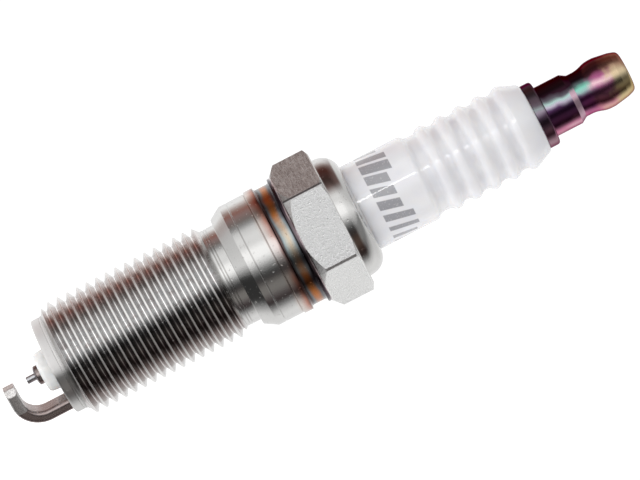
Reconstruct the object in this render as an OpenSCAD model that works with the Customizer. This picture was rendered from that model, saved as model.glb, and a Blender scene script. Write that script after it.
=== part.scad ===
// Spark plug: long reach, conical seat, fine-wire centre electrode, solid terminal.
// The Z axis is the plug's own axis and +Z points to the terminal.
// Z = 0 is the plane where the conical seat is 14.8 mm across.

/* [Thread and reach] */
// Major diameter of the thread
thread_d = 13.9; // [13.8:0.01:13.95]
// Root diameter of the thread
thread_root_d = 12.3; // [12.1:0.01:12.4]
// Thread pitch
thread_pitch = 1.25; // [1.2:0.01:1.25]
// Turns of thread
thread_turns = 16; // [12:1:16]
// Distance from the seat's gauge plane to the shell's end face
reach = 25; // [25:0.1:26]
// Length of the plain pilot ahead of the thread
pilot_len = 1.6; // [1.2:0.1:2]
// Diameter of the pilot
pilot_d = 11.8; // [11.4:0.1:12]

/* [Shell] */
// Hexagon size across flats
hex_af = 15.88; // [15.8:0.01:16]
// Diameter the hexagon's corners are turned to
hex_corner_d = 18.14; // [17.8:0.01:18.2]
// Diameter of the shoulder above the seat
shoulder_d = 15.36; // [15.2:0.01:15.5]
// Diameter of the ring between the shoulder and the groove
ring_d = 15.68; // [15.5:0.01:15.8]
// Diameter of the heat-tinted groove
groove_d = 14.9; // [14.6:0.01:15]
// Diameter of the bore round the insulator's nose
nose_bore_d = 7.2; // [7:0.1:7.6]

/* [Insulator] */
// Diameter of the barrel that stands out of the shell
barrel_d = 10.6; // [10.4:0.1:10.6]
// Diameter at the bottom of the rib grooves
rib_root_d = 9.56; // [9.4:0.01:9.8]
// Number of ribs
ribs = 5; // [3:1:5]
// Distance from one rib to the next
rib_pitch = 2.48; // [2.3:0.01:2.5]
// Diameter of the nose at its tip
nose_d = 4.9; // [4.4:0.1:5]
// How far the nose stands out of the shell
nose_out = 1.6; // [1.2:0.1:2]

/* [Electrodes] */
// Spark gap
gap = 1.4; // [1.1:0.05:1.5]
// Diameter of the fine wire
wire_d = 0.9; // [0.6:0.05:1]
// Height of the wire's end above the nose
wire_out = 1.85; // [1.7:0.05:2]
// Diameter of the centre electrode
electrode_d = 2.4; // [2:0.1:2.5]
// Width of the ground strap
strap_w = 2.6; // [2:0.1:2.8]
// Thickness of the ground strap
strap_t = 1.4; // [1.3:0.05:1.5]
// Turn of the ground strap about the axis, from +X towards +Y
strap_turn = 28; // [0:1:30]

/* [Terminal] */
// Diameter of the connector post
post_d = 6.26; // [6.2:0.01:6.35]
// Diameter of the post's waist
waist_d = 5.32; // [5.1:0.01:5.5]
// Diameter of the post's flange
flange_d = 8; // [7.6:0.1:8.2]

/* [Hidden] */

$fn = 96;
arc_step = 15;
through = 0.1;

// Shell heights, measured from the gauge plane
end_z = -reach;
thread_z = end_z + pilot_len;
thread_top_z = thread_z + thread_turns * thread_pitch;
flank_h = (thread_d - thread_root_d) / 2 * tan(30);
thread_flat = thread_pitch / 2 - flank_h;
pilot_chamfer = 0.4;
neck_r = 6.14;
seat_r = 7.4;
seat_slope = tan(31.5);
seat_low_z = -1.06;
seat_low_r = seat_r + seat_low_z * seat_slope;
seat_top_z = (shoulder_d / 2 - seat_r) / seat_slope;
turned_line_z = 1.4;
turned_line = 0.09;
ring_z = 3.7;
groove_z = 4.85;
groove_top_z = 6.8;
groove_fillet = 0.3;
lip_r = 7.9;
hex_z = 7.15;
hex_top_z = 12.45;
hex_low_chamfer = 1.05;
hex_top_chamfer = 0.35;
collar_r = 7.45;
roll_r = 5.25;
roll_z = 12.75;
roll_outer = 2.2;
roll_inner = 1.3;
roll_from = 8;
collar_bore_r = 5.4;

// Bores of the shell
ledge_z = -12;
ledge_slope = tan(30);
body_bore_r = 4.75;
head_bore_r = 6.3;
head_bore_z = 3.05;

// Insulator
body_r = 4.6;
head_r = 6.2;
head_top_z = 9.9;
head_slope = head_bore_z - head_bore_r + 0.2;
gasket_t = 0.35;
gasket_in_r = 3.7;
gasket_out_r = 4.55;
nose_z = end_z - nose_out;
nose_edge = 0.6;
nose_root_r = 3.15;
nose_root_z = -12.4;
barrel_r = barrel_d / 2;
rib_root_r = rib_root_d / 2;
first_rib_z = 25.2;
wide_groove = 0.46;
barrel_top_z = first_rib_z - rib_pitch - wide_groove;
cone_r = 5.25;
cone_z = first_rib_z + (ribs - 1) * rib_pitch + 0.3;
cone_top_r = 4.43;
cone_angle = 24;
top_z = 37.7;
top_edge = 0.5;
electrode_bore_r = electrode_d / 2 + 0.05;
fill_r = 1.9;
electrode_seat = 10.4;

// Rear packing
ring_wire_r = 0.45;
packing_r = 5.8;
lower_ring_z = 11.03;
upper_ring_z = 13.36;
packing_gap = 0.02;
talc_start = 0.22;

// Centre electrode
wire_z = nose_z - wire_out;
electrode_z = nose_z - 0.5;
weld_h = 0.25;
weld_r = 0.55;
electrode_flange_r = 1.75;
electrode_flange_z = -7.9;
electrode_boss_r = 1.2;
electrode_boss_z = -6.6;
core_r = 0.7;
core_z = -24;

// Fill of the insulator's bore
resistor_z = -3.6;
resistor_top_z = 5.4;
glass_top_z = 10.6;
stud_z = 6.4;
stud_neck_r = 1.45;
stud_groove_r = 1.2;
stud_rings = 5;
stud_ring_pitch = 0.8;
stud_r = 1.75;
stud_taper_z = 11;

// Ground strap
strap_in_z = wire_z - gap;
strap_out_z = strap_in_z - strap_t;
strap_out_r = 4.95;
strap_in_r = strap_out_r - strap_t;
bend_in_r = 2.15;
bend_x = strap_in_r - bend_in_r;
bend_z = strap_in_z + bend_in_r;
strap_edge = 0.22;
strap_past = 0.95;
strap_corner = 0.75;

// Terminal
flange_top_z = 39.05;
flange_edge = 0.15;
post_top_z = 42.35;
waist_z = 43.1;
waist_top_z = 44.3;
bulge_z = 46.2;
bulge_top_z = 47;
tip_z = 49.6;
tip_round = 0.75;
tip_r = 2.72;

// Points along an arc round [cr, cz], from angle a0 to angle a1
function arc(cr, cz, r, a0, a1) =
    let (n = max(2, ceil(abs(a1 - a0) / arc_step)))
    [for (i = [0:n]) let (a = a0 + (a1 - a0) * i / n) [cr + r * cos(a), cz + r * sin(a)]];

// One ridge of the thread, which starts at height z
function ridge(z) = [
    [thread_root_d / 2, z + thread_flat / 2],
    [thread_d / 2, z + thread_flat / 2 + flank_h],
    [thread_d / 2, z + thread_flat * 1.5 + flank_h],
    [thread_root_d / 2, z + thread_flat * 1.5 + 2 * flank_h]
];

// All the points of a list but the first
function rest(points) = [for (i = [1:len(points) - 1]) points[i]];

// Two equal arcs that meet halfway, from [r0, z0] up to [r1, z1]
function wave(r0, z0, r1, z1) =
    let (r = (pow(z1 - z0, 2) + pow(r1 - r0, 2)) / (4 * abs(r1 - r0)), sweep = asin((z1 - z0) / 2 / r))
    r1 > r0
        ? concat(arc(r0 + r, z0, r, 180, 180 - sweep), rest(arc(r1 - r, z1, r, -sweep, 0)))
        : concat(arc(r0 - r, z0, r, 0, sweep), rest(arc(r1 + r, z1, r, 180 + sweep, 180)));

// One rib, from the bottom of the groove under it to its crest at height z
function rib_rise(z) = wave(rib_root_r, z - rib_pitch / 2, barrel_r, z);

// The upper side of a rib, from its crest at height z to the bottom of the next groove
function rib_fall(z) = wave(barrel_r, z, rib_root_r, z + rib_pitch / 2);

// A rectangle with rounded corners, from [x0, y0] to [x1, y1]
function rounded(x0, y0, x1, y1, r) = concat(
    arc(x1 - r, y0 + r, r, -90, 0),
    arc(x1 - r, y1 - r, r, 0, 90),
    arc(x0 + r, y1 - r, r, 90, 180),
    arc(x0 + r, y0 + r, r, 180, 270)
);

ridges = [for (i = [0:thread_turns - 1]) each ridge(thread_z + i * thread_pitch)];

shell_outline = concat(
    [[0, end_z], [pilot_d / 2 - pilot_chamfer, end_z], [pilot_d / 2, end_z + pilot_chamfer]],
    [[pilot_d / 2, thread_z]],
    ridges,
    [[thread_root_d / 2, thread_top_z], [neck_r, thread_top_z + 0.3], [neck_r, seat_low_z]],
    [[seat_low_r, seat_low_z], [shoulder_d / 2, seat_top_z]],
    [[shoulder_d / 2, turned_line_z - turned_line]],
    [[shoulder_d / 2 - turned_line, turned_line_z]],
    [[shoulder_d / 2, turned_line_z + turned_line]],
    [[shoulder_d / 2, ring_z - turned_line], [shoulder_d / 2 - turned_line, ring_z]],
    [[ring_d / 2, ring_z + turned_line], [ring_d / 2, groove_z]],
    arc(groove_d / 2 + groove_fillet, groove_z + groove_fillet, groove_fillet, -90, -180),
    arc(groove_d / 2 + groove_fillet, groove_top_z - groove_fillet, groove_fillet, 180, 90),
    [[lip_r, groove_top_z], [lip_r, hex_z], [collar_r, hex_z]],
    arc(roll_r, roll_z, roll_outer, roll_from, acos((collar_bore_r - roll_r) / roll_outer)),
    [[0, roll_z + roll_outer]]
);

shell_bore = concat(
    [[0, end_z - through], [nose_bore_d / 2, end_z - through], [nose_bore_d / 2, ledge_z]],
    [[body_bore_r, ledge(body_bore_r)], [body_bore_r, head_bore_z - head_bore_r + body_bore_r]],
    [[head_bore_r, head_bore_z]],
    arc(roll_r, roll_z, roll_inner, acos((head_bore_r - roll_r) / roll_inner),
        acos((collar_bore_r - roll_r) / roll_inner)),
    [[collar_bore_r, roll_z + roll_outer + through], [0, roll_z + roll_outer + through]]
);

hex_turning = [
    [0, hex_z], [hex_af / 2, hex_z], [hex_corner_d / 2, hex_z + hex_low_chamfer],
    [hex_corner_d / 2, hex_top_z - hex_top_chamfer],
    [hex_corner_d / 2 - 2 * hex_top_chamfer, hex_top_z], [0, hex_top_z]
];

// Height of the shell's inner ledge at radius r, and of the insulator's front shoulder over it
function ledge(r) = ledge_z + (r - nose_bore_d / 2) * ledge_slope;
function shoulder_z(r) = ledge(r) + gasket_t;

// Heights of the rib crests
rib_crests = [for (i = [0:ribs - 1]) first_rib_z + i * rib_pitch];

insulator_outline = concat(
    [[electrode_bore_r, nose_z]],
    arc(nose_d / 2 - nose_edge, nose_z + nose_edge, nose_edge, -90, 0),
    [[nose_root_r, nose_root_z], [nose_root_r + 0.2, shoulder_z(nose_root_r + 0.2)]],
    [[body_r, shoulder_z(body_r)], [body_r, body_r + head_slope], [head_r, head_r + head_slope]],
    [[head_r, head_top_z], [barrel_r, head_top_z + head_r - barrel_r]],
    rib_fall(barrel_top_z),
    rib_rise(rib_crests[0]),
    [for (i = [1:ribs - 1]) each concat(rest(rib_fall(rib_crests[i - 1])), rest(rib_rise(rib_crests[i])))],
    [[cone_r, cone_z]],
    arc(cone_top_r - top_edge * cos(cone_angle), top_z - top_edge, top_edge, cone_angle, 90),
    [[fill_r, top_z], [fill_r, fill_r - electrode_seat], [electrode_bore_r, electrode_bore_r - electrode_seat]]
);

electrode_outline = [
    [0, electrode_z], [electrode_d / 2, electrode_z], [electrode_d / 2, electrode_d / 2 - electrode_seat],
    [electrode_flange_r, electrode_flange_r - electrode_seat], [electrode_flange_r, electrode_flange_z],
    [electrode_boss_r, electrode_flange_z], [electrode_boss_r, electrode_boss_z], [0, electrode_boss_z]
];

core_outline = [[0, core_z], [core_r, core_z + core_r], [core_r, electrode_boss_z], [0, electrode_boss_z]];

lower_glass_outline = [
    [electrode_boss_r, electrode_flange_z], [fill_r, electrode_flange_z], [fill_r, resistor_z],
    [0, resistor_z], [0, electrode_boss_z], [electrode_boss_r, electrode_boss_z]
];

gasket_outline = [for (r = [gasket_in_r, gasket_out_r]) each [[r, ledge(r)], [r, shoulder_z(r)]]];

// One ring cut in the end of the terminal's shank, starting at height z
function shank_ring(z) = [
    [stud_neck_r, z], [stud_groove_r, z + stud_ring_pitch / 4],
    [stud_groove_r, z + stud_ring_pitch / 2], [stud_neck_r, z + stud_ring_pitch * 3 / 4]
];

// The part of the shank that the upper glass holds
shank_end = concat(
    [[stud_neck_r, stud_z]],
    [for (i = [0:stud_rings - 1]) each shank_ring(stud_z + (i + 0.25) * stud_ring_pitch)],
    [[stud_neck_r, glass_top_z]]
);

upper_glass_outline = concat(
    [[0, resistor_top_z], [0, stud_z]],
    shank_end,
    [[fill_r, glass_top_z], [fill_r, resistor_top_z]]
);

stud_outline = concat(
    [[0, stud_z]],
    shank_end,
    [[stud_r, stud_taper_z], [stud_r, top_z], [flange_d / 2 - flange_edge, top_z]],
    [[flange_d / 2, top_z + flange_edge], [flange_d / 2, flange_top_z - flange_edge]],
    [[flange_d / 2 - flange_edge, flange_top_z], [post_d / 2, flange_top_z], [post_d / 2, post_top_z]],
    [[waist_d / 2, waist_z]],
    wave(waist_d / 2, waist_top_z, post_d / 2, bulge_z),
    [[post_d / 2, bulge_top_z]],
    arc(tip_r - tip_round, tip_z - tip_round, tip_round, 0, 90),
    [[0, tip_z]]
);

module shell() {
    color([0.72, 0.71, 0.70])
    difference() {
        union() {
            rotate_extrude() polygon(shell_outline);
            intersection() {
                translate([0, 0, hex_z]) cylinder(d = hex_af / cos(30), h = hex_top_z - hex_z, $fn = 6);
                rotate_extrude() polygon(hex_turning);
            }
        }
        rotate_extrude() polygon(shell_bore);
    }
}

module strap_section(x0, x1) {
    polygon(rounded(x0, -strap_w / 2, x1, strap_w / 2, strap_edge));
}

// The triangle cut from one corner of the strap's end; side is 1 or -1
module strap_corner_cut(side) {
    translate([0, 0, strap_out_z - through])
    linear_extrude(strap_t + 2 * through)
    polygon([
        [-strap_past - through, side * (strap_w / 2 - strap_corner - through)],
        [-strap_past - through, side * (strap_w / 2 + through)],
        [-strap_past + strap_corner + through, side * (strap_w / 2 + through)]
    ]);
}

module ground_electrode() {
    color([0.45, 0.42, 0.41])
    rotate([0, 0, strap_turn])
    difference() {
        union() {
            translate([0, 0, bend_z]) linear_extrude(end_z - bend_z) strap_section(strap_in_r, strap_out_r);
            translate([bend_x, 0, bend_z]) rotate([-90, 0, 0])
                rotate_extrude(angle = 90) strap_section(bend_in_r, bend_in_r + strap_t);
            translate([bend_x, 0, 0]) rotate([0, -90, 0])
                linear_extrude(bend_x + strap_past) strap_section(strap_out_z, strap_in_z);
        }
        for (side = [-1, 1]) strap_corner_cut(side);
    }
}

module insulator() {
    color([0.95, 0.95, 0.96]) rotate_extrude() polygon(insulator_outline);
}

module front_gasket() {
    color([0.55, 0.55, 0.56]) rotate_extrude() polygon([
        gasket_outline[0], gasket_outline[2], gasket_outline[3], gasket_outline[1]
    ]);
}

module wire_ring(z) {
    color([0.55, 0.55, 0.56]) rotate_extrude() translate([packing_r, z]) circle(r = ring_wire_r);
}

module rear_ring_lower() {
    wire_ring(lower_ring_z);
}

module rear_ring_upper() {
    wire_ring(upper_ring_z);
}

module talc_packing() {
    color([0.80, 0.79, 0.75])
    rotate_extrude() difference() {
        translate([barrel_r + packing_gap, lower_ring_z + talc_start])
            square([head_bore_r - barrel_r - 2 * packing_gap, upper_ring_z - lower_ring_z - 2 * talc_start]);
        for (z = [lower_ring_z, upper_ring_z]) translate([packing_r, z]) circle(r = ring_wire_r);
    }
}

module centre_electrode() {
    color([0.42, 0.41, 0.40])
    rotate_extrude() difference() {
        polygon(electrode_outline);
        polygon(core_outline);
    }
}

module copper_core() {
    color([0.72, 0.43, 0.28]) rotate_extrude() polygon(core_outline);
}

module tip_weld() {
    color([0.55, 0.50, 0.48])
    difference() {
        translate([0, 0, electrode_z - weld_h]) cylinder(r1 = weld_r, r2 = electrode_d / 2, h = weld_h);
        translate([0, 0, wire_z]) cylinder(d = wire_d, h = wire_out);
    }
}

module firing_tip() {
    color([0.50, 0.50, 0.52]) translate([0, 0, wire_z]) cylinder(d = wire_d, h = electrode_z - wire_z);
}

module lower_glass_seal() {
    color([0.25, 0.27, 0.30]) rotate_extrude() polygon(lower_glass_outline);
}

module resistor() {
    color([0.16, 0.15, 0.15])
    translate([0, 0, resistor_z]) cylinder(r = fill_r, h = resistor_top_z - resistor_z);
}

module upper_glass_seal() {
    color([0.25, 0.27, 0.30]) rotate_extrude() polygon(upper_glass_outline);
}

module terminal_stud() {
    color([0.45, 0.38, 0.50]) rotate_extrude() polygon(stud_outline);
}

shell();
ground_electrode();
insulator();
front_gasket();
rear_ring_lower();
talc_packing();
rear_ring_upper();
centre_electrode();
copper_core();
tip_weld();
firing_tip();
lower_glass_seal();
resistor();
upper_glass_seal();
terminal_stud();
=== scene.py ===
"""A spark plug with a long threaded reach, a conical seat and a solid terminal.

The pieces are modelled in millimetres and then brought to metres. The Z axis is the plug's own axis,
and +Z points to the terminal. An outline is a list of (radius, height, corner radius) points.
"""

import math

import bpy
from mathutils import Matrix, Vector


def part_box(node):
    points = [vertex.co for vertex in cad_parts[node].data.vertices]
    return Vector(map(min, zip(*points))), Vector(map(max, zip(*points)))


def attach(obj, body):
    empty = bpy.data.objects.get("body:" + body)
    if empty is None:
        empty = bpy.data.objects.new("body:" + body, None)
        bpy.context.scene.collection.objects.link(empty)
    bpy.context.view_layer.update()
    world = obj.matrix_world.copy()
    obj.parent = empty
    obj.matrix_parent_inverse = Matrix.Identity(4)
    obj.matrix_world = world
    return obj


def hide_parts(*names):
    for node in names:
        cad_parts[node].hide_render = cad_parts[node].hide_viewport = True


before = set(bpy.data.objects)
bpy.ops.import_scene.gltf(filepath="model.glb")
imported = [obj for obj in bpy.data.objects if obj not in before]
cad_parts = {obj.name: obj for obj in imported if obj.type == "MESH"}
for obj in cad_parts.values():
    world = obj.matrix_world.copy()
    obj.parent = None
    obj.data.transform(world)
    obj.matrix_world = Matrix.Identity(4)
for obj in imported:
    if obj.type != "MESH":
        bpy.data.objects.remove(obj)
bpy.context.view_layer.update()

MM = 0.001
SIDES = 160
FINE_SIDES = 64
MERGE = 1e-4


def box_mm(node):
    """A CAD node's lowest and highest corners, in millimetres."""
    low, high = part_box(node)
    return Vector(low) / MM, Vector(high) / MM


shell_low, shell_high = box_mm("shell")
ceramic_low, ceramic_high = box_mm("insulator")
stud_low, stud_high = box_mm("terminal_stud")
electrode_low, electrode_high = box_mm("centre_electrode")
wire_low, wire_high = box_mm("firing_tip")
weld_low, weld_high = box_mm("tip_weld")
core_low = box_mm("copper_core")[0]
strap_low = box_mm("ground_electrode")[0]

END_Z = shell_low.z
COLLAR_Z = shell_high.z
THREAD_TOP = -2.75
HEX_LOW = 7.15
HEX_HIGH = 12.45
HEX_FLATS = 15.88
HEX_CORNERS = 18.14
PITCH = 1.25
CREST_R = 6.95
ROOT_R = 6.15
FIRST_ROOT = -22.13 - 3 * PITCH


# ---------------------------------------------------------------- outlines

def arc(centre_r, centre_z, radius, start, end, steps=8):
    """Points on an arc, with its angles in degrees."""
    angles = [math.radians(start + (end - start) * i / steps) for i in range(steps + 1)]
    return [(centre_r + radius * math.cos(a), centre_z + radius * math.sin(a), 0) for a in angles]


def wave(start, end, steps=8):
    """Two equal arcs that meet halfway between two (radius, height) points."""
    (r0, z0), (r1, z1) = start, end
    radius = ((z1 - z0) ** 2 + (r1 - r0) ** 2) / (4 * abs(r1 - r0))
    sweep = math.degrees(math.asin((z1 - z0) / 2 / radius))
    if r1 > r0:
        return (arc(r0 + radius, z0, radius, 180, 180 - sweep, steps)
                + arc(r1 - radius, z1, radius, -sweep, 0, steps)[1:])
    return (arc(r0 - radius, z0, radius, 0, sweep, steps)
            + arc(r1 + radius, z1, radius, 180 + sweep, 180, steps)[1:])


def rounded(points, closed=True, steps=4):
    """The outline as (radius, height) points, with each corner that has a radius turned into a curve."""
    out = []
    count = len(points)
    for i, (r, z, corner) in enumerate(points):
        here = Vector((r, z))
        if not corner or (not closed and i in (0, count - 1)):
            out.append(here)
            continue
        before = Vector(points[i - 1][:2]) - here
        after = Vector(points[(i + 1) % count][:2]) - here
        reach = corner / math.tan(before.angle(after) / 2)
        reach = min(reach, before.length * 0.49, after.length * 0.49)
        start = here + before.normalized() * reach
        end = here + after.normalized() * reach
        for k in range(steps + 1):
            t = k / steps
            out.append(start * (1 - t) ** 2 + here * 2 * t * (1 - t) + end * t ** 2)
    if closed:
        out.append(out[0].copy())
    return out


# ---------------------------------------------------------------- modelling

def deselect():
    if bpy.context.mode != "OBJECT":
        bpy.ops.object.mode_set(mode="OBJECT")
    bpy.ops.object.select_all(action="DESELECT")


def take(piece):
    """Makes one piece the only one selected."""
    deselect()
    piece.select_set(True)
    bpy.context.view_layer.objects.active = piece


def apply(piece, kind, **settings):
    """Adds a modifier with these settings and applies it."""
    take(piece)
    modifier = piece.modifiers.new(kind, kind)
    for name, value in settings.items():
        setattr(modifier, name, value)
    bpy.ops.object.modifier_apply(modifier=modifier.name)


def drawn(name, points):
    """A wire object that follows the points, in the plane Y = 0."""
    deselect()
    bpy.ops.mesh.primitive_plane_add(size=1)
    piece = bpy.context.object
    piece.name = piece.data.name = name
    bpy.ops.object.mode_set(mode="EDIT")
    bpy.ops.mesh.merge(type="CENTER")
    bpy.ops.transform.translate(value=(points[0][0], 0, points[0][1]))
    for here, there in zip(points, points[1:]):
        step = (there[0] - here[0], 0, there[1] - here[1])
        bpy.ops.mesh.extrude_vertices_move(TRANSFORM_OT_translate={"value": step})
    bpy.ops.object.mode_set(mode="OBJECT")
    return piece


def merged(piece):
    """Joins the doubles and turns every face outwards."""
    take(piece)
    bpy.ops.object.mode_set(mode="EDIT")
    bpy.ops.mesh.select_all(action="SELECT")
    bpy.ops.mesh.remove_doubles(threshold=MERGE)
    bpy.ops.mesh.normals_make_consistent(inside=False)
    bpy.ops.object.mode_set(mode="OBJECT")
    return piece


def turned(name, points, sides=SIDES, closed=True):
    """The outline spun round the Z axis. An outline that isn't closed starts and ends on the axis."""
    piece = drawn(name, rounded(points, closed))
    bpy.ops.object.mode_set(mode="EDIT")
    bpy.ops.mesh.select_all(action="SELECT")
    bpy.ops.mesh.spin(steps=sides, angle=2 * math.pi, center=(0, 0, 0), axis=(0, 0, 1))
    bpy.ops.object.mode_set(mode="OBJECT")
    return merged(piece)


def combine(piece, tool, operation):
    """Cuts, joins or crosses the piece with a tool, and uses the tool up."""
    apply(piece, "BOOLEAN", operation=operation, solver="EXACT", object=tool)
    bpy.data.objects.remove(tool)
    return merged(piece)


def finish_piece(piece, node, finish, sharp=32):
    """Brings a piece to metres, gives it its shading, body, slot and finish, and hides the CAD node that it
    stands for.
    """
    take(piece)
    bpy.ops.object.shade_smooth_by_angle(angle=math.radians(sharp))
    apply(piece, "WEIGHTED_NORMAL", keep_sharp=True, weight=80)
    piece.scale = (MM, MM, MM)
    bpy.ops.object.transform_apply(location=True, rotation=True, scale=True)
    piece.data.materials.clear()
    piece.data.materials.append(finish)
    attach(piece, "root")
    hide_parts(node)
    return piece


# ---------------------------------------------------------------- shell

def thread_sleeve():
    """The right-hand thread: one pitch of its section screwed up the reach, then turned to its length."""
    low, high = END_Z + 1.5, THREAD_TOP
    half_flat = PITCH / 16
    soft = 0.055
    section = [
        (ROOT_R, 0, 0), (ROOT_R, half_flat, 0.07), (CREST_R, PITCH / 2 - half_flat, soft),
        (CREST_R, PITCH / 2 + half_flat, soft), (ROOT_R, PITCH - half_flat, 0.07), (ROOT_R, PITCH, 0)
    ]
    turns = 19
    rod = drawn("thread", [(r, z + FIRST_ROOT) for r, z in rounded(section, closed=False, steps=3)])
    apply(rod, "SCREW", axis="Z", angle=2 * math.pi, screw_offset=PITCH, iterations=turns,
          steps=96, render_steps=96, use_merge_vertices=False)
    merged(rod)
    bpy.ops.object.mode_set(mode="EDIT")
    for height, side in ((low - 0.3, -1), (high + 0.3, 1)):
        bpy.ops.mesh.select_all(action="SELECT")
        bpy.ops.mesh.bisect(plane_co=(0, 0, height), plane_no=(0, 0, side), use_fill=True,
                            clear_outer=True, threshold=MERGE / 10)
    bpy.ops.object.mode_set(mode="OBJECT")
    merged(rod)
    envelope = turned("envelope", [
        (5.2, low, 0), (ROOT_R - 0.12, low, 0), (7.1, low + 0.6, 0),
        (7.1, high - 0.95, 0), (ROOT_R - 0.12, high, 0), (5.2, high, 0)
    ])
    return combine(rod, envelope, "INTERSECT")


def hexagon(low, high):
    """The wrench hexagon, with soft edges and both ends turned to a cone."""
    deselect()
    bpy.ops.mesh.primitive_cylinder_add(
        vertices=6, radius=HEX_FLATS / 2 / math.cos(math.radians(30)), depth=high - low,
        location=(0, 0, (low + high) / 2), rotation=(0, 0, math.radians(30)))
    piece = bpy.context.object
    bpy.ops.object.transform_apply(location=True, rotation=True, scale=True)
    bpy.ops.object.mode_set(mode="EDIT")
    bpy.ops.mesh.select_all(action="DESELECT")
    bpy.ops.object.mode_set(mode="OBJECT")
    for edge in piece.data.edges:
        a, b = (piece.data.vertices[i].co for i in edge.vertices)
        edge.select = abs(a.z - b.z) > 1
    bpy.ops.object.mode_set(mode="EDIT")
    bpy.ops.mesh.bevel(offset=0.16, segments=3, affect="EDGES")
    bpy.ops.object.mode_set(mode="OBJECT")
    turning = turned("turning", [
        (7.1, low - 0.1, 0), (HEX_FLATS / 2 - 0.12, low - 0.1, 0), (HEX_CORNERS / 2, low + 1.05, 0.2),
        (HEX_CORNERS / 2, high - 0.4, 0.1), (HEX_CORNERS / 2 - 0.95, high + 0.1, 0), (7.1, high + 0.1, 0)
    ])
    combine(piece, turning, "INTERSECT")
    apply(piece, "BEVEL", width=0.05, segments=2, limit_method="ANGLE", angle_limit=math.radians(25))
    return merged(piece)


def shell(finish):
    """The steel body: pilot, thread, seat, shoulder, ring, groove, hexagon and rolled collar."""
    blank = [
        (3.6, END_Z, 0.12), (5.9, END_Z, 0.35), (5.9, END_Z + 1.06, 0.03), (5.84, END_Z + 1.12, 0.03),
        (5.9, END_Z + 1.18, 0.03), (5.96, END_Z + 1.36, 0.03), (5.9, END_Z + 1.42, 0.03),
        (6.0, END_Z + 1.5, 0.03), (6.0, -3.0, 0.03), (6.14, -2.7, 0.03), (6.14, -2.5, 0.03),
        (6.06, -2.42, 0.03), (6.14, -2.34, 0.03), (6.14, -2.16, 0.03), (6.06, -2.08, 0.03),
        (6.14, -2.0, 0.03), (6.14, -1.06, 0.1), (6.75, -1.06, 0.06),
        (7.68, 0.46, 0.12), (7.68, 1.31, 0.03), (7.6, 1.4, 0.04), (7.68, 1.49, 0.03),
        (7.68, 3.58, 0.04), (7.6, 3.66, 0.04), (7.84, 3.76, 0.05), (7.84, 4.85, 0.08),
        (7.45, 4.95, 0.7), (7.45, 6.75, 0.7), (7.92, 6.82, 0.08), (7.92, 7.2, 0),
        (7.3, 7.2, 0), (7.3, 12.4, 0), (7.5, 12.4, 0), (7.47, 12.72, 0.3)
    ]
    roll = arc(5.25, 12.75, 2.2, 8, 83, 14)
    lip = [(5.42, COLLAR_Z, 0.12), (5.4, 14.04, 0.1)] + arc(5.25, 12.75, 1.3, 78, 36, 8)
    bore = [
        (6.3, 3.05, 0), (4.75, 1.5, 0), (4.75, -11.34, 0), (3.6, -12.0, 0)
    ]
    piece = turned("shell_body", blank + roll + lip + bore)
    combine(piece, thread_sleeve(), "UNION")
    combine(piece, hexagon(HEX_LOW, HEX_HIGH), "UNION")
    return finish_piece(piece, "shell", finish)


# ---------------------------------------------------------------- ceramic

RIB_PITCH = 2.48
FIRST_RIB = 25.2
BARREL_R = 5.3
RIB_ROOT_R = 4.78


def insulator(finish):
    """The ceramic: nose, shoulders, barrel, five ribs and the top cone, with its stepped bore."""
    half = RIB_PITCH / 2
    crests = [FIRST_RIB + i * RIB_PITCH for i in range(5)]
    bore_r, fill_r = 1.25, 1.9
    body = [
        (bore_r, ceramic_low.z, 0.1), (2.45, ceramic_low.z, 0.6), (3.15, -12.4, 0.4),
        (3.35, -11.79, 0.1), (4.6, -11.07, 0.2), (4.6, 1.55, 0.2), (6.2, 3.15, 0.3),
        (6.2, 9.9, 0.3), (BARREL_R, 10.8, 0.3)
    ]
    barrel_end = FIRST_RIB - RIB_PITCH - 0.46
    ribs = wave((BARREL_R, barrel_end), (RIB_ROOT_R, barrel_end + half))
    for i, crest in enumerate(crests):
        ribs += wave((RIB_ROOT_R, crest - half), (BARREL_R, crest))[0 if i == 0 else 1:]
        if i < len(crests) - 1:
            ribs += wave((BARREL_R, crest), (RIB_ROOT_R, crest + half))[1:]
    top = [
        (5.27, crests[-1] + 0.25, 0.25), (4.25, ceramic_high.z, 0.5), (fill_r, ceramic_high.z, 0.1),
        (fill_r, -8.5, 0), (bore_r, -9.25, 0)
    ]
    piece = turned("insulator_body", body + ribs + top)
    return finish_piece(piece, "insulator", finish, sharp=50)


# ---------------------------------------------------------------- electrodes

def centre_electrode(finish):
    """The nickel jacket, hollow for its copper core."""
    r = 1.2
    piece = turned("electrode_jacket", [
        (0, electrode_low.z, 0), (r, electrode_low.z, 0.1), (r, -9.3, 0.05), (1.75, -8.65, 0.1),
        (1.75, -7.9, 0.1), (1.2, -7.9, 0.05), (1.2, electrode_high.z, 0.1), (0.7, electrode_high.z, 0),
        (0.7, core_low.z + 0.7, 0), (0, core_low.z, 0)
    ], FINE_SIDES, closed=False)
    return finish_piece(piece, "centre_electrode", finish)


def tip_weld(finish):
    """The fused cone between the wire and the nickel, with the soft rings of the welding beam."""
    height = weld_high.z - weld_low.z
    rings = 3
    steps = []
    for i in range(rings + 1):
        t = i / rings
        steps.append((0.55 + 0.65 * math.sqrt(t), weld_low.z + height * t, 0.03))
        if i < rings:
            middle = t + 0.4 / rings
            steps.append((0.57 + 0.65 * math.sqrt(middle), weld_low.z + height * middle, 0.03))
    piece = turned("weld_cone", [(0.4, weld_low.z, 0)] + steps + [(0.4, weld_high.z, 0)], FINE_SIDES)
    return finish_piece(piece, "tip_weld", finish)


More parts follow.
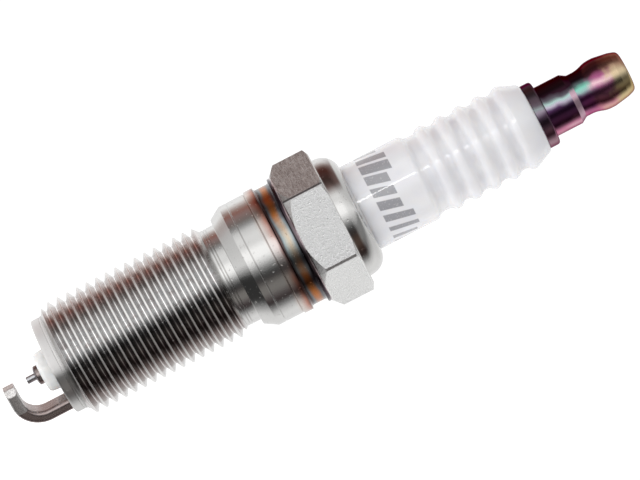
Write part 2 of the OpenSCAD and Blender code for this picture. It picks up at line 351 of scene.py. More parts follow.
def firing_tip(finish):
    """The fine wire, with the small burr edge of its cut end."""
    r = (wire_high.x - wire_low.x) / 2
    piece = turned("fine_wire", [
        (0, wire_low.z, 0), (r, wire_low.z, 0.05), (r, wire_high.z, 0), (0, wire_high.z, 0)
    ], FINE_SIDES, closed=False)
    return finish_piece(piece, "firing_tip", finish)


STRAP_TURN = 28
STRAP_WIDTH = 2.6
STRAP_THICK = 1.4
STRAP_PAST = 0.95
STRAP_CORNER = 0.75


def ground_electrode(finish):
    """The strap: a drawn bar that stands on the shell, bends over and ends in two trimmed corners."""
    out_r, bend_r = 4.95, 2.15
    arm_low = strap_low.z
    bend_z = arm_low + STRAP_THICK + bend_r
    bend_x = out_r - STRAP_THICK - bend_r
    deselect()
    bpy.ops.mesh.primitive_plane_add(size=1, location=(out_r - STRAP_THICK / 2, 0, END_Z))
    piece = bpy.context.object
    piece.name = piece.data.name = "ground_strap"
    bpy.ops.object.mode_set(mode="EDIT")
    bpy.ops.transform.resize(value=(STRAP_THICK, STRAP_WIDTH, 1))
    bpy.ops.mesh.bevel(offset=0.6, segments=8, profile=0.6, affect="VERTICES")
    bpy.ops.mesh.extrude_region_move(TRANSFORM_OT_translate={"value": (0, 0, bend_z - END_Z)})
    bpy.ops.mesh.spin(steps=18, angle=math.radians(-90), center=(bend_x, 0, bend_z), axis=(0, 1, 0))
    bpy.ops.mesh.extrude_region_move(TRANSFORM_OT_translate={"value": (-bend_x - STRAP_PAST, 0, 0)})
    for side in (-1, 1):
        bpy.ops.mesh.select_all(action="SELECT")
        bpy.ops.mesh.bisect(
            plane_co=(-STRAP_PAST, side * (STRAP_WIDTH / 2 - STRAP_CORNER), arm_low), plane_no=(-1, side, 0),
            use_fill=True, clear_outer=True)
    bpy.ops.object.mode_set(mode="OBJECT")
    merged(piece)
    apply(piece, "BEVEL", width=0.1, segments=3, limit_method="ANGLE", angle_limit=math.radians(30))
    piece.rotation_euler.z = math.radians(STRAP_TURN)
    bpy.ops.object.transform_apply(location=True, rotation=True, scale=True)
    return finish_piece(merged(piece), "ground_electrode", finish, sharp=40)


# ---------------------------------------------------------------- terminal

def terminal_stud(finish):
    """The connector post on its flange, and the shank whose grooved end sits in the glass."""
    post, waist, flange = 3.13, 2.66, 4.0
    top = ceramic_high.z
    end = [(0, stud_low.z, 0), (1.45, stud_low.z, 0.1)]
    for i in range(5):
        start = stud_low.z + 0.2 + 0.8 * i
        end += [(1.45, start, 0), (1.2, start + 0.2, 0), (1.2, start + 0.4, 0), (1.45, start + 0.6, 0)]
    shank = [(1.45, 10.6, 0), (1.75, 11.0, 0), (1.75, top, 0)]
    seat = [
        (flange, top, 0.12), (flange, top + 1.35, 0.4), (post, top + 1.35, 0.1),
        (post, 42.35, 0.12), (waist, 43.1, 0.35)
    ]
    bulge = wave((waist, 43.75), (post - 0.03, 46.2), 10)
    tip = [(post - 0.03, 46.7, 0.6), (2.8, 48.5, 0.5), (2.45, stud_high.z, 0.7), (0, stud_high.z, 0)]
    piece = turned("connector_post", end + shank + seat + bulge + tip, 128, closed=False)
    return finish_piece(piece, "terminal_stud", finish)


# ---------------------------------------------------------------- finishes

class Finish:
    """A procedural material. Its coordinates are Object coordinates in millimetres."""

    def __init__(self, name, **settings):
        self.material = bpy.data.materials.new(name)
        self.material.use_nodes = True
        self.tree = self.material.node_tree
        self.shader = self.tree.nodes["Principled BSDF"]
        for socket, value in settings.items():
            self.shader.inputs[socket.replace("_", " ")].default_value = value
        place = self.node("ShaderNodeTexCoord").outputs["Object"]
        scale = self.node("ShaderNodeVectorMath", operation="SCALE", Vector=place, Scale=1 / MM)
        self.place = scale.outputs["Vector"]
        split = self.node("ShaderNodeSeparateXYZ", Vector=self.place)
        self.x, self.y, self.z = split.outputs

    def node(self, kind, **values):
        """Adds a node. A value names a property, or a socket that takes a number or another socket."""
        made = self.tree.nodes.new(kind)
        for name, value in values.items():
            if name in made.bl_rna.properties and name not in made.inputs:
                setattr(made, name, value)
        for name, value in values.items():
            if name in made.inputs:
                self.feed(made.inputs[name], value)
        return made

    def feed(self, socket, value):
        if isinstance(value, bpy.types.NodeSocket):
            self.tree.links.new(value, socket)
        else:
            socket.default_value = value

    def math(self, operation, a, b=0.0):
        made = self.node("ShaderNodeMath", operation=operation)
        self.feed(made.inputs[0], a)
        self.feed(made.inputs[1], b)
        return made.outputs[0]

    def between(self, value, low, high, to_low=0.0, to_high=1.0, interpolation="SMOOTHSTEP"):
        """The value mapped from low..high to another range, and held at its ends."""
        made = self.node("ShaderNodeMapRange", interpolation_type=interpolation)
        for i, number in enumerate((value, low, high, to_low, to_high)):
            self.feed(made.inputs[i], number)
        return made.outputs[0]

    def zone(self, low, high, soft=0.1, height=None):
        """1 between two heights and 0 outside them."""
        z = self.z if height is None else height
        up = self.between(z, low - soft, low + soft)
        down = self.between(z, high - soft, high + soft, 1.0, 0.0)
        return self.math("MULTIPLY", up, down)

    def noise(self, scale, detail=3.0, roughness=0.5, stretch=None):
        """Noise with features of about 1 / scale millimetres. Stretch scales its three axes."""
        place = self.place
        if stretch:
            place = self.node("ShaderNodeMapping", Vector=place, Scale=stretch).outputs[0]
        made = self.node("ShaderNodeTexNoise", Vector=place, Scale=scale, Detail=detail, Roughness=roughness)
        return made.outputs["Fac"]

    def ramp(self, factor, stops):
        """A colour ramp from (position, colour) stops."""
        made = self.node("ShaderNodeValToRGB", Fac=factor)
        elements = made.color_ramp.elements
        while len(elements) < len(stops):
            elements.new(0.5)
        for element, (position, colour) in zip(elements, stops):
            element.position = position
            element.color = (*colour, 1)
        return made.outputs["Color"]

    def mix(self, factor, a, b):
        """Two colours mixed."""
        made = self.node("ShaderNodeMix", data_type="RGBA")
        self.feed(made.inputs[0], factor)
        self.feed(made.inputs[6], a if isinstance(a, bpy.types.NodeSocket) else (*a, 1))
        self.feed(made.inputs[7], b if isinstance(b, bpy.types.NodeSocket) else (*b, 1))
        return made.outputs[2]

    def colour(self, value):
        self.feed(self.shader.inputs["Base Color"], value)

    def rough(self, value):
        self.feed(self.shader.inputs["Roughness"], value)

    def bump(self, height, depth_mm):
        """Relief of this height, on top of any relief that is there."""
        made = self.node("ShaderNodeBump", Strength=1.0, Distance=depth_mm * MM, Height=height)
        normal = self.shader.inputs["Normal"]
        if normal.links:
            self.tree.links.new(normal.links[0].from_socket, made.inputs["Normal"])
        self.tree.links.new(made.outputs["Normal"], normal)


def grey(value):
    return (value, value, value)


NICKEL = (0.60, 0.595, 0.585)


def plated_steel():
    """Bright nickel plating over turned steel.

    Its colour follows the place on the shell: a heat-tinted groove, painted paler towards the front and
    back;
    hexagon flats with painted shade and light and a painted dark line on one edge; thread flanks with
    painted light and shade that change round the thread; painted highlights on the roots and crests; a pilot
    painted lighter and half-matt on its -X side; and two dark brown patches on the collar.
    """
    f = Finish("bright_nickel_plate", Metallic=1.0)
    radius = f.math("POWER", f.math("ADD", f.math("MULTIPLY", f.x, f.x), f.math("MULTIPLY", f.y, f.y)), 0.5)
    wander = f.between(f.noise(0.35, 2.0), 0.3, 0.7, -0.12, 0.12, "LINEAR")
    height = f.between(f.math("ADD", f.z, wander), 3.2, 7.4, interpolation="LINEAR")
    burnt = f.ramp(height, [
        (0.00, NICKEL), (0.18, (0.58, 0.50, 0.46)), (0.32, (0.42, 0.20, 0.15)), (0.395, (0.12, 0.05, 0.04)),
        (0.46, (0.03, 0.02, 0.02)), (0.51, (0.13, 0.14, 0.15)), (0.58, (0.33, 0.13, 0.05)),
        (0.65, (0.40, 0.13, 0.03)), (0.72, (0.30, 0.12, 0.05)), (0.78, (0.11, 0.11, 0.12)),
        (0.84, (0.03, 0.02, 0.03)), (0.92, (0.06, 0.04, 0.05)), (0.95, (0.50, 0.40, 0.41)), (1.00, NICKEL)
    ])
    pale = f.ramp(height, [
        (0.00, NICKEL), (0.32, (0.58, 0.50, 0.48)), (0.395, (0.20, 0.11, 0.10)), (0.46, (0.07, 0.06, 0.06)),
        (0.51, (0.28, 0.33, 0.34)), (0.58, (0.42, 0.41, 0.36)), (0.65, (0.50, 0.42, 0.32)),
        (0.72, (0.42, 0.41, 0.37)), (0.78, (0.26, 0.31, 0.33)), (0.84, (0.10, 0.09, 0.10)),
        (0.92, (0.16, 0.12, 0.13)), (0.95, (0.58, 0.50, 0.52)), (1.00, NICKEL)
    ])
    # The groove's heat tint is the shell's own. Towards the front and back (small |x|) it is painted paler,
    # which is painted light.
    side = f.math("ABSOLUTE", f.math("ADD", f.x, f.between(f.noise(0.5), 0.3, 0.7, -0.8, 0.8, "LINEAR")))
    plating = f.mix(f.between(side, 0.8, 4.2), pale, burnt)
    hex_zone = f.zone(HEX_LOW + 0.15, HEX_HIGH - 0.15, 0.1)
    # Painted shade and light on the hexagon: the flat past x = -4.6 is painted dark with streaks, the flats
    # from -4.6 to 4.6 mid grey and the flats past 4.6 pale. A painted dark line runs along the edge at x =
    # -4.6.
    shade_streaks = f.between(f.noise(2.0, 3.0, 0.6, stretch=(0.4, 0.4, 2.5)), 0.35, 0.65, 0.45, 1.0, "LINEAR")
    left, right = -4.6, 4.6
    shade = f.math("MULTIPLY", f.math("MULTIPLY", hex_zone, f.between(f.x, left - 0.15, left, 1.0, 0.0)),
                   shade_streaks)
    plating = f.mix(shade, plating, (0.22, 0.19, 0.18))
    plating = f.mix(f.math("MULTIPLY", hex_zone, f.between(f.x, left - 0.15, left)), plating, grey(0.70))
    plating = f.mix(f.math("MULTIPLY", hex_zone, f.between(f.x, right, right + 0.3)), plating,
                    (0.88, 0.88, 0.87))
    edge = f.math("MULTIPLY", hex_zone, f.zone(left - 0.12, left + 0.1, 0.04, f.x))
    plating = f.mix(edge, plating, (0.10, 0.09, 0.09))
    threaded = f.zone(END_Z + 1.7, -3.0, 0.2)
    # Painted light and shade on the thread flanks: the faces on either side of each crest get ramps of light
    # and dark greys that change with x round the thread.
    around = f.between(f.x, -7.0, 7.0, interpolation="LINEAR")
    lower_flank_painted_shading = f.ramp(around, [
        (0.00, (0.72, 0.70, 0.69)), (0.12, (0.46, 0.40, 0.39)), (0.24, (0.50, 0.47, 0.46)),
        (0.36, grey(0.62)), (0.56, grey(0.62)), (0.66, (0.42, 0.40, 0.39)), (0.86, (0.35, 0.30, 0.29)),
        (1.00, (0.70, 0.68, 0.67))
    ])
    upper_flank_painted_shading = f.ramp(around, [
        (0.00, (0.74, 0.72, 0.71)), (0.14, (0.68, 0.63, 0.61)), (0.30, grey(0.62)), (0.48, grey(0.61)),
        (0.58, grey(0.26)), (0.84, (0.20, 0.16, 0.15)), (0.94, (0.50, 0.47, 0.46)), (1.00, grey(0.68))
    ])
    turn = f.math("MULTIPLY", f.math("ARCTAN2", f.y, f.x), 0.5 / math.pi)
    climb = f.math("MULTIPLY", f.math("SUBTRACT", f.z, FIRST_ROOT), 1 / PITCH)
    phase = f.math("FRACT", f.math("SUBTRACT", climb, turn))
    flank_painted_shading = f.mix(f.between(phase, 0.47, 0.53), lower_flank_painted_shading, upper_flank_painted_shading)
    plating = f.mix(threaded, plating, flank_painted_shading)
    # Painted highlight: a pale line along the thread's roots, strongest towards -X.
    root = f.between(f.math("ABSOLUTE", f.math("SUBTRACT", phase, 0.5)), 0.455, 0.475)
    root = f.math("MULTIPLY", f.math("MULTIPLY", root, threaded), f.between(f.x, 0.3, 1.6, 0.95, 0.4))
    plating = f.mix(root, plating, (0.84, 0.83, 0.82))
    dirt = f.math("MULTIPLY", f.between(f.noise(1.6, 3.0), 0.52, 0.66, 0.0, 0.5), threaded)
    plating = f.mix(dirt, plating, (0.40, 0.35, 0.34))
    # Painted highlight: the crests are painted pale.
    crest = f.math("MULTIPLY", f.between(radius, CREST_R - 0.11, CREST_R - 0.05), threaded)
    plating = f.mix(crest, plating, (0.85, 0.84, 0.83))
    # Painted light: the pilot's side towards -X is made lighter and half-matt.
    pilot = f.zone(END_Z - 1, END_Z + 1.5, 0.1)
    pilot_painted_light = f.between(f.x, 0.0, 1.5, 1.0, 0.0)
    plating = f.mix(f.math("MULTIPLY", pilot, pilot_painted_light), plating, (0.60, 0.59, 0.585))
    # Two dark brown patches on the collar, one towards -X and one towards +X.
    over = f.math("MULTIPLY", f.zone(12.45, 14.2, 0.15), f.zone(-6.6, -3.2, 0.8, f.x))
    plating = f.mix(f.math("MULTIPLY", over, 0.9), plating, (0.10, 0.045, 0.035))
    under = f.math("MULTIPLY", f.zone(12.5, 13.35, 0.2), f.zone(2.0, 4.9, 0.8, f.x))
    plating = f.mix(f.math("MULTIPLY", under, 0.85), plating, (0.17, 0.09, 0.06))
    f.colour(plating)
    matt = f.math("MULTIPLY", f.math("MULTIPLY", pilot, pilot_painted_light), 0.8)
    f.feed(f.shader.inputs["Metallic"], f.math("SUBTRACT", 1.0, matt))
    grain = f.noise(6.0, 4.0, 0.65)
    rings = f.noise(9.0, 2.0, 0.6, stretch=(0.03, 0.03, 1.0))
    dull = f.math("ADD", f.math("MULTIPLY", hex_zone, 0.18), f.math("MULTIPLY", pilot, 0.24))
    dull = f.math("ADD", dull, f.math("MULTIPLY", crest, 0.26))
    f.rough(f.math("ADD", f.between(grain, 0.3, 0.7, 0.07, 0.15, "LINEAR"), dull))
    f.bump(rings, 0.006)
    nicks = f.between(f.noise(2.4, 2.0, 0.7), 0.66, 0.72)
    f.bump(nicks, -0.02)
    f.bump(f.math("MULTIPLY", grain, f.math("ADD", f.math("MULTIPLY", hex_zone, 4.0), 0.5)), 0.012)
    return f.material


def stained_nickel():
    """The centre electrode's nickel, stained brown."""
    f = Finish("stained_nickel", Metallic=1.0)
    grain = f.noise(8.0, 3.0)
    f.colour(f.mix(f.between(f.noise(1.2, 3.0), 0.35, 0.7), (0.36, 0.31, 0.30), (0.14, 0.10, 0.09)))
    f.rough(f.between(grain, 0.3, 0.7, 0.16, 0.3, "LINEAR"))
    f.bump(f.noise(14.0, 3.0), 0.01)
    return f.material


def cut_strap_nickel():
    """The strap's nickel: browner on its sides, pale and rough where its end is cut and trimmed."""
    f = Finish("cut_strap_nickel", Metallic=1.0)
    a = math.radians(STRAP_TURN)
    along = f.math("ADD", f.math("MULTIPLY", f.x, math.cos(a)), f.math("MULTIPLY", f.y, math.sin(a)))
    across = f.math("SUBTRACT", f.math("MULTIPLY", f.y, math.cos(a)), f.math("MULTIPLY", f.x, math.sin(a)))
    side = f.math("ABSOLUTE", across)
    trim = STRAP_WIDTH / 2 - STRAP_CORNER + STRAP_PAST - 0.08
    trimmed = f.math("MULTIPLY", f.between(f.math("SUBTRACT", side, along), trim, trim + 0.04),
                     f.between(f.z, -28, -28.1))
    cut = f.math("MAXIMUM", trimmed, f.between(along, 0.03 - STRAP_PAST, 0.06 - STRAP_PAST, 1.0, 0.0))
    grain = f.noise(8.0, 3.0)
    tone = f.mix(f.between(f.noise(1.2, 3.0), 0.35, 0.7), (0.78, 0.75, 0.74), (0.56, 0.51, 0.49))
    tone = f.mix(f.between(side, 0.95, 1.25, 0.0, 0.8), tone, (0.30, 0.23, 0.22))
    f.colour(f.mix(cut, tone, f.mix(f.between(grain, 0.4, 0.6), (0.88, 0.86, 0.85), (0.60, 0.58, 0.57))))
    f.rough(f.math("ADD", f.between(grain, 0.3, 0.7, 0.16, 0.3, "LINEAR"), f.math("MULTIPLY", cut, 0.2)))
    f.bump(f.noise(14.0, 3.0), 0.01)
    return f.material


def glazed_ceramic():
    """White glazed alumina with a printed band. The nose inside the shell's end is bare and matt."""
    f = Finish("glazed_alumina", IOR=1.6, Subsurface_Weight=0.85, Subsurface_Scale=0.003,
               Subsurface_Radius=(1.0, 0.9, 0.8), Coat_Weight=0.6, Coat_Roughness=0.04)
    nose = f.between(f.z, -10.0, -9.0, 1.0, 0.0)
    white = f.mix(f.between(f.noise(0.25, 2.0), 0.3, 0.7), (0.70, 0.70, 0.73), (0.74, 0.74, 0.755))
    f.colour(f.mix(printed_band(f), f.mix(nose, white, (0.70, 0.70, 0.69)), (0.33, 0.33, 0.35)))
    f.rough(f.between(nose, 0.0, 1.0, 0.08, 0.55, "LINEAR"))
    f.bump(f.noise(0.8, 2.0), 0.01)
    return f.material


def printed_band(f):
    """A plain band of slanted grey bars round the barrel, where a maker would print a mark."""
    bars, low, high, slant = 20, 16.8, 20.3, -0.05
    lean = f.math("MULTIPLY", f.math("SUBTRACT", f.z, low), slant)
    angle = f.math("ADD", f.math("ARCTAN2", f.y, f.x), lean)
    turn = f.math("MULTIPLY", angle, bars / (2 * math.pi))
    dice = f.node("ShaderNodeTexWhiteNoise", noise_dimensions="1D", W=f.math("FLOOR", turn)).outputs["Value"]
    width = f.between(dice, 0.0, 1.0, 0.38, 0.62, "LINEAR")
    edge = f.math("SUBTRACT", width, f.math("ABSOLUTE", f.math("SUBTRACT", f.math("FRACT", turn), 0.5)))
    bar = f.between(edge, 0.14, 0.20)
    ends = f.between(f.math("FRACT", f.math("MULTIPLY", dice, 7.0)), 0.5, 0.55, 0.0, 0.8)
    short = f.math("SUBTRACT", high, ends)
    worn = f.between(f.noise(5.0, 3.0), 0.34, 0.42, 0.75, 1.0)
    tall = f.math("MULTIPLY", f.between(f.z, low - 0.06, low + 0.06), f.math("LESS_THAN", f.z, short))
    return f.math("MULTIPLY", f.math("MULTIPLY", bar, worn), tall)


def iridescent_chromate():
    """Polished steel under a chromate coat. Its colour runs across the post and turns gold at the tip: the
    coat's own hues, with a painted highlight in the pale band a little towards -X of the middle and painted
    shade on the near-black side towards -X.
    """
    f = Finish("iridescent_chromate", Metallic=1.0, Specular_Tint=(0.4, 0.25, 0.3, 1))
    drift = f.between(f.noise(0.5, 1.5, 0.5), 0.3, 0.7, -0.05, 0.05, "LINEAR")
    across = f.math("ADD", f.math("MULTIPLY", f.x, 0.5 / 3.3), f.math("ADD", 0.5, drift))
    # These ramps run across the post with x: the pale band a little towards -X of the middle is a painted
    # highlight, and the near-black end towards -X is painted shade.
    post = f.ramp(across, [
        (0.00, (0.04, 0.02, 0.02)), (0.25, (0.03, 0.01, 0.02)), (0.33, (0.10, 0.09, 0.11)),
        (0.40, (0.30, 0.42, 0.40)), (0.47, (0.36, 0.32, 0.40)), (0.56, (0.10, 0.04, 0.12)),
        (0.76, (0.12, 0.03, 0.09)), (0.90, (0.60, 0.24, 0.36)), (1.00, (0.70, 0.46, 0.52))
    ])
    waist = f.ramp(across, [
        (0.00, (0.04, 0.02, 0.02)), (0.25, (0.03, 0.01, 0.02)), (0.36, (0.08, 0.12, 0.12)),
        (0.44, (0.18, 0.48, 0.38)), (0.52, (0.24, 0.34, 0.34)), (0.60, (0.22, 0.05, 0.20)),
        (0.76, (0.20, 0.04, 0.14)), (0.90, (0.62, 0.24, 0.38)), (1.00, (0.70, 0.46, 0.52))
    ])
    bulge = f.ramp(across, [
        (0.00, (0.12, 0.05, 0.05)), (0.28, (0.08, 0.02, 0.03)), (0.38, (0.36, 0.10, 0.22)),
        (0.47, (0.60, 0.40, 0.44)), (0.54, (0.46, 0.14, 0.30)), (0.66, (0.16, 0.06, 0.10)),
        (0.80, (0.40, 0.12, 0.18)), (0.90, (0.66, 0.34, 0.36)), (1.00, (0.76, 0.56, 0.40))
    ])
    gold = f.ramp(across, [
        (0.00, (0.14, 0.06, 0.05)), (0.24, (0.30, 0.14, 0.10)), (0.42, (0.52, 0.40, 0.26)),
        (0.56, (0.46, 0.38, 0.24)), (0.72, (0.50, 0.38, 0.18)), (1.00, (0.72, 0.60, 0.36))
    ])
    drift_z = f.between(f.noise(0.9, 2.0), 0.3, 0.7, -0.5, 0.5, "LINEAR")
    z = f.math("ADD", f.z, drift_z)
    film_and_painted_light = f.mix(f.between(z, 42.6, 43.4), post, waist)
    film_and_painted_light = f.mix(f.between(z, 44.2, 45.6), film_and_painted_light, bulge)
    film_and_painted_light = f.mix(f.between(z, 46.4, 48.0), film_and_painted_light, gold)
    # Painted reflection: the step below the waist is painted pale pink, except on its -X side.
    step = f.math("MULTIPLY", f.zone(42.35, 43.05, 0.06), f.between(across, 0.3, 0.42))
    film_and_painted_light = f.mix(step, film_and_painted_light, (0.56, 0.38, 0.46))
    film_and_painted_light = f.mix(f.math("MULTIPLY", f.between(f.z, 39.0, 39.1, 1.0, 0.0), 0.6), film_and_painted_light, (0.12, 0.09, 0.11))
    f.colour(film_and_painted_light)
    f.rough(f.between(f.noise(5.0, 3.0), 0.3, 0.7, 0.10, 0.20, "LINEAR"))
    f.bump(f.noise(8.0, 2.0, 0.5, stretch=(0.05, 0.05, 1.0)), 0.004)
    return f.material


def cut_iridium():
    """The fine wire: grey, satin, with drawing lines."""
    f = Finish("cut_iridium", Metallic=1.0)
    f.colour(f.mix(f.between(f.noise(4.0), 0.3, 0.7), (0.58, 0.58, 0.60), (0.40, 0.40, 0.42)))
    f.rough(f.between(f.noise(12.0), 0.3, 0.7, 0.12, 0.24, "LINEAR"))
    f.bump(f.noise(20.0, 2.0, 0.5, stretch=(1.0, 1.0, 0.1)), 0.004)
    return f.material


def fused_metal():
    """The weld: rippled and tinted."""
    f = Finish("fused_metal", Metallic=1.0)
    f.colour(f.mix(f.between(f.noise(3.0), 0.3, 0.7), (0.40, 0.34, 0.33), (0.26, 0.24, 0.26)))
    f.rough(f.between(f.noise(9.0), 0.3, 0.7, 0.2, 0.35, "LINEAR"))
    f.bump(f.noise(16.0), 0.01)
    return f.material


def bare_steel():
    """Unplated steel of the gasket and the rings."""
    f = Finish("bare_packing_steel", Metallic=1.0)
    f.colour(f.mix(f.between(f.noise(1.5), 0.3, 0.7), (0.50, 0.50, 0.51), (0.40, 0.39, 0.38)))
    f.rough(f.between(f.noise(6.0), 0.3, 0.7, 0.3, 0.45, "LINEAR"))
    f.bump(f.noise(9.0, 2.0, 0.5, stretch=(0.1, 0.1, 1.0)), 0.008)
    return f.material


def drawn_copper():
    """The core's copper, with patches of tarnish."""
    f = Finish("drawn_copper", Metallic=1.0)
    f.colour(f.mix(f.between(f.noise(1.0), 0.35, 0.7), (0.86, 0.46, 0.30), (0.62, 0.30, 0.18)))
    f.rough(f.between(f.noise(7.0), 0.3, 0.7, 0.22, 0.4, "LINEAR"))
    f.bump(f.noise(10.0, 2.0, 0.5, stretch=(1.0, 1.0, 0.05)), 0.005)
    return f.material


def pressed_powder(name, base, speck, scale, amount):
    """A pressed or fused filling: a matt ground with specks of another colour."""
    f = Finish(name)
    specks = f.between(f.noise(scale, 2.0, 0.7), amount, amount + 0.08)
    f.colour(f.mix(specks, f.mix(f.between(f.noise(0.8), 0.3, 0.7), base, [c * 0.8 for c in base]), speck))
    f.rough(f.between(specks, 0.0, 1.0, 0.75, 0.45, "LINEAR"))
    f.bump(f.noise(scale, 3.0), 0.02)
    return f.material


def give(node, finish):
    """Gives a CAD node's own slots a finish."""
    node_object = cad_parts[node]
    for place in node_object.material_slots:
        place.material = finish


# ---------------------------------------------------------------- studio

CAMERA_DISTANCE = 0.5
FRAME_WIDTH = 0.074
SENSOR = 36.0
TILT = math.radians(27.4)
AIM = Vector((1.13, 0, 9.14)) * MM


def camera():
    """A long lens that looks square on to the axis, rolled so that the terminal points up and right."""
    data = bpy.data.cameras.new("camera")
    data.sensor_width = SENSOR
    data.lens = SENSOR * CAMERA_DISTANCE / FRAME_WIDTH
    data.clip_start = 0.01
    made = bpy.data.objects.new("camera", data)
    bpy.context.scene.collection.objects.link(made)
    right = Vector((math.sin(TILT), 0, math.cos(TILT)))
    back = Vector((0, -1, 0))
    up = back.cross(right)
    turn = Matrix((right, up, back)).transposed()
    made.matrix_world = Matrix.Translation(AIM + back * CAMERA_DISTANCE) @ turn.to_4x4()
    bpy.context.scene.camera = made


# Brightness round the plug: (degrees from the camera towards +X, colour as seen)
PANELS = [
    (-180, grey(0.72)), (-158, grey(0.76)), (-138, grey(0.82)), (-126, (0.70, 0.67, 0.66)),
    (-116, (0.55, 0.48, 0.46)), (-106, (0.48, 0.34, 0.31)), (-94, (0.47, 0.39, 0.38)),
    (-80, (0.40, 0.37, 0.36)), (-70, grey(0.50)), (-60, grey(0.72)), (-46, grey(0.79)),
    (-32, grey(0.78)), (-20, grey(0.90)), (-6, grey(0.89)), (3, grey(0.75)), (14, grey(0.46)),
    (24, grey(0.23)), (34, (0.21, 0.20, 0.20)), (47, (0.40, 0.39, 0.38)), (58, (0.41, 0.40, 0.39)),
    (70, (0.30, 0.28, 0.28)), (82, (0.17, 0.14, 0.14)), (94, grey(0.42)), (108, grey(0.68)),
    (124, grey(0.77)), (150, grey(0.74)), (180, grey(0.72))
]

# The same, towards the firing end and towards the terminal
FOOT_PANELS = [
    (-180, grey(0.66)), (-110, grey(0.66)), (-60, grey(0.70)), (-10, grey(0.76)), (14, grey(0.48)),
    (26, grey(0.20)), (40, grey(0.16)), (92, grey(0.17)), (112, grey(0.45)), (130, grey(0.68)),
    (180, grey(0.66))
]
HEAD_PANELS = [
    (-180, grey(0.66)), (-60, grey(0.68)), (-10, grey(0.80)), (14, grey(0.64)), (34, grey(0.44)),
    (76, grey(0.42)), (100, grey(0.58)), (124, grey(0.68)), (180, grey(0.66))
]
PANEL_LIGHT = 1.92
BACKDROP_LIGHT = 1.1
END_PANELS_START, END_PANELS_FULL = 0.35, 0.85


def linear(shade):
    """A colour as seen, turned into the light that gives it."""
    return tuple(((c + 0.055) / 1.055) ** 2.4 for c in shade)


def studio():
    """White behind the plug, and bright, grey and dark panels round it that its surfaces pick up."""
    world = bpy.data.worlds.new("studio")
    bpy.context.scene.world = world
    world.use_nodes = True
    tree = world.node_tree
    tree.nodes.clear()

    def add(kind, **settings):
        made = tree.nodes.new(kind)
        for name, value in settings.items():
            setattr(made, name, value)
        return made

    def join(a, b):
        tree.links.new(a, b)

    split = add("ShaderNodeSeparateXYZ")
    join(add("ShaderNodeTexCoord").outputs["Generated"], split.inputs[0])
    flip = add("ShaderNodeMath", operation="MULTIPLY")
    join(split.outputs["Y"], flip.inputs[0])
    flip.inputs[1].default_value = -1
    angle = add("ShaderNodeMath", operation="ARCTAN2")
    join(split.outputs["X"], angle.inputs[0])
    join(flip.outputs[0], angle.inputs[1])
    turn = add("ShaderNodeMapRange")
    join(angle.outputs[0], turn.inputs[0])
    turn.inputs[1].default_value = -math.pi
    turn.inputs[2].default_value = math.pi

    def ramp(panels):
        made = add("ShaderNodeValToRGB")
        join(turn.outputs[0], made.inputs[0])
        elements = made.color_ramp.elements
        while len(elements) < len(panels):
            elements.new(0.5)
        for element, (degrees, shade) in zip(elements, panels):
            element.position = (degrees + 180) / 360
            element.color = (*linear(shade), 1)
        return made.outputs[0]

    rise = add("ShaderNodeMath", operation="ABSOLUTE")
    join(split.outputs["Z"], rise.inputs[0])
    near_end = add("ShaderNodeMapRange", interpolation_type="SMOOTHSTEP")
    join(rise.outputs[0], near_end.inputs[0])
    near_end.inputs[1].default_value = END_PANELS_START
    near_end.inputs[2].default_value = END_PANELS_FULL
    upper = add("ShaderNodeMapRange")
    join(split.outputs["Z"], upper.inputs[0])
    upper.inputs[1].default_value = -0.1
    upper.inputs[2].default_value = 0.1
    ends = add("ShaderNodeMix", data_type="RGBA")
    join(upper.outputs[0], ends.inputs[0])
    join(ramp(FOOT_PANELS), ends.inputs[6])
    join(ramp(HEAD_PANELS), ends.inputs[7])
    blend = add("ShaderNodeMix", data_type="RGBA")
    join(near_end.outputs[0], blend.inputs[0])
    join(ramp(PANELS), blend.inputs[6])
    join(ends.outputs[2], blend.inputs[7])
    panels = add("ShaderNodeBackground")
    panels.inputs[1].default_value = PANEL_LIGHT
    join(blend.outputs[2], panels.inputs[0])
    white = add("ShaderNodeBackground")
    white.inputs[0].default_value = (1, 1, 1, 1)
    white.inputs[1].default_value = BACKDROP_LIGHT
    seen = add("ShaderNodeMixShader")
    join(add("ShaderNodeLightPath").outputs["Is Camera Ray"], seen.inputs[0])
    join(panels.outputs[0], seen.inputs[1])
    join(white.outputs[0], seen.inputs[2])
    join(seen.outputs[0], add("ShaderNodeOutputWorld").inputs[0])
    bpy.context.scene.view_settings.view_transform = "Standard"


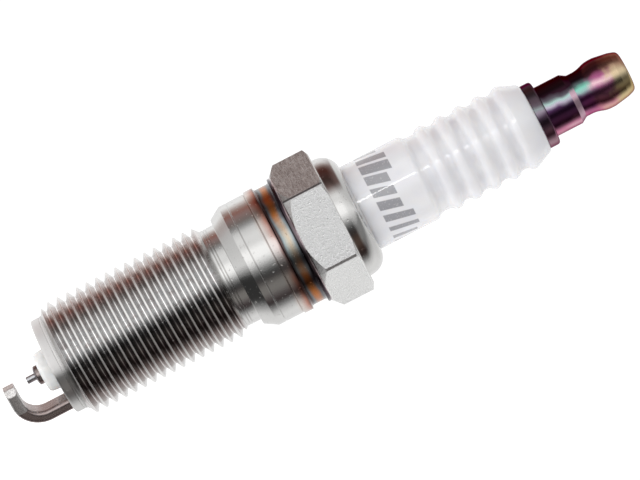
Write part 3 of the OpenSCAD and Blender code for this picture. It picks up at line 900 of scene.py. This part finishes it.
def softbox(name, degrees, distance, width, length, power):
    """A long soft light beside the plug, at this many degrees from the camera towards +X."""
    data = bpy.data.lights.new(name, "AREA")
    data.shape = "RECTANGLE"
    data.size = width
    data.size_y = length
    data.energy = power
    made = bpy.data.objects.new(name, data)
    bpy.context.scene.collection.objects.link(made)
    a = math.radians(degrees)
    back = Vector((math.sin(a), -math.cos(a), 0))
    up = Vector((0, 0, 1))
    turn = Matrix((up.cross(back), up, back)).transposed()
    middle = Vector((0, 0, 9)) * MM
    made.matrix_world = Matrix.Translation(back * distance + middle) @ turn.to_4x4()
    return made


def floor():
    """A pale table just under the strap."""
    gap = 0.5
    deselect()
    bpy.ops.mesh.primitive_circle_add(vertices=96, radius=100 * MM, fill_type="NGON",
                                      location=(0, 0, (strap_low.z - gap) * MM))
    made = bpy.context.object
    made.name = "table"
    f = Finish("pale_table", Roughness=0.6, Emission_Color=(1, 1, 1, 1), Emission_Strength=0.95)
    f.colour(f.mix(f.noise(0.02), (0.93, 0.93, 0.93), (0.90, 0.90, 0.90)))
    made.data.materials.append(f.material)
    made.visible_glossy = False


# ---------------------------------------------------------------- the plug

camera()
studio()
strip = softbox("key_strip", degrees=-16, distance=0.6, width=0.03, length=1.2, power=0.75)
fill = softbox("fill", degrees=75, distance=0.5, width=0.5, length=0.5, power=0.9)
fill.visible_glossy = False
floor()

steel = bare_steel()
shell(plated_steel())
ceramic = insulator(glazed_ceramic())
# The strip lights the glaze only; on the metal it would leave a line of sparks
glazed = bpy.data.collections.new("glazed")
glazed.objects.link(ceramic)
strip.light_linking.receiver_collection = glazed
centre_electrode(stained_nickel())
tip_weld(fused_metal())
firing_tip(cut_iridium())
ground_electrode(cut_strap_nickel())
terminal_stud(iridescent_chromate())

seal = pressed_powder("copper_filled_glass", (0.10, 0.11, 0.13), (0.55, 0.30, 0.18), 6.0, 0.60)
give("copper_core", drawn_copper())
give("front_gasket", steel)
give("rear_ring_lower", steel)
give("rear_ring_upper", steel)
give("talc_packing", pressed_powder("pressed_talc", (0.74, 0.73, 0.68), (0.86, 0.86, 0.84), 5.0, 0.58))
give("lower_glass_seal", seal)
give("upper_glass_seal", seal)
give("resistor", pressed_powder("resistor_mix", (0.06, 0.055, 0.05), (0.20, 0.19, 0.18), 8.0, 0.62))
